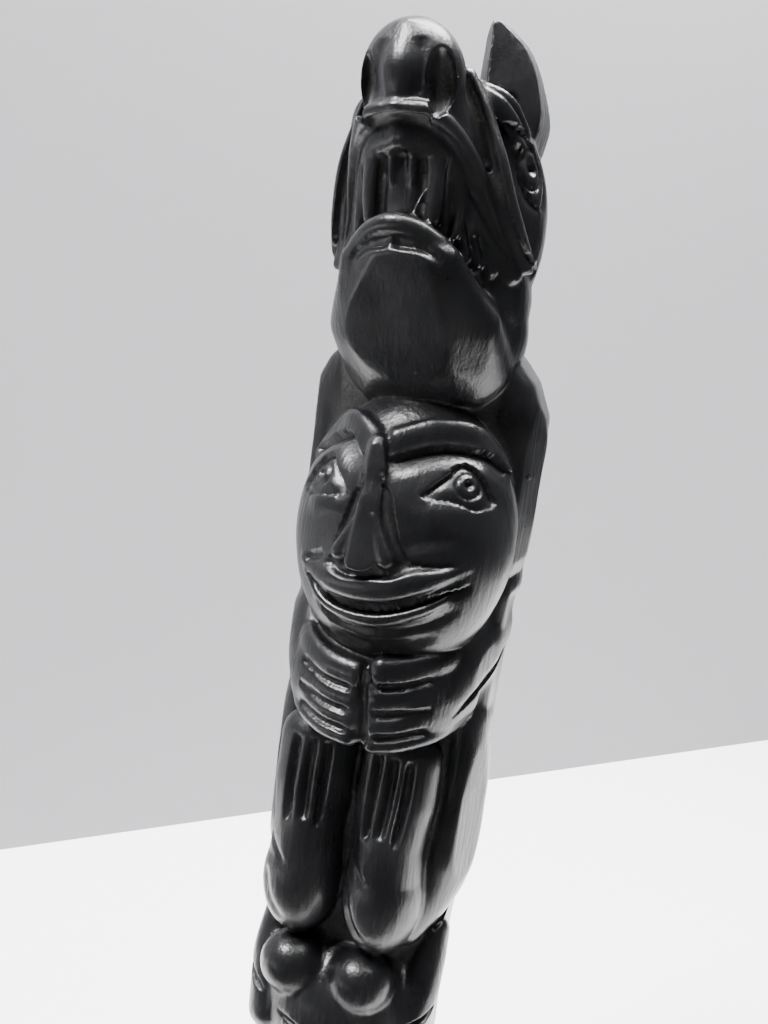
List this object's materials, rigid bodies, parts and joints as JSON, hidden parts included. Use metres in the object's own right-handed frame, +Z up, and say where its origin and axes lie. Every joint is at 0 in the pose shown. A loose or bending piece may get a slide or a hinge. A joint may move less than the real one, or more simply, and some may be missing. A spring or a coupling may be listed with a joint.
{
  "type": "totem pole",
  "caption": "Small carved stone totem pole on a low square base: a bear with open jaws holding a round human face, over a frog.",
  "frame": {"origin": "middle of the base's underside", "axes": "+Z up the pole, figures facing -Y, plain flat back towards +Y"},
  "size_m": [0.0388, 0.036, 0.2],
  "materials": {
    "argillite": "hand-polished near-black argillite"
  },
  "bodies": {
    "root": {"totem_pole": "argillite"}
  },
  "joints": []
}
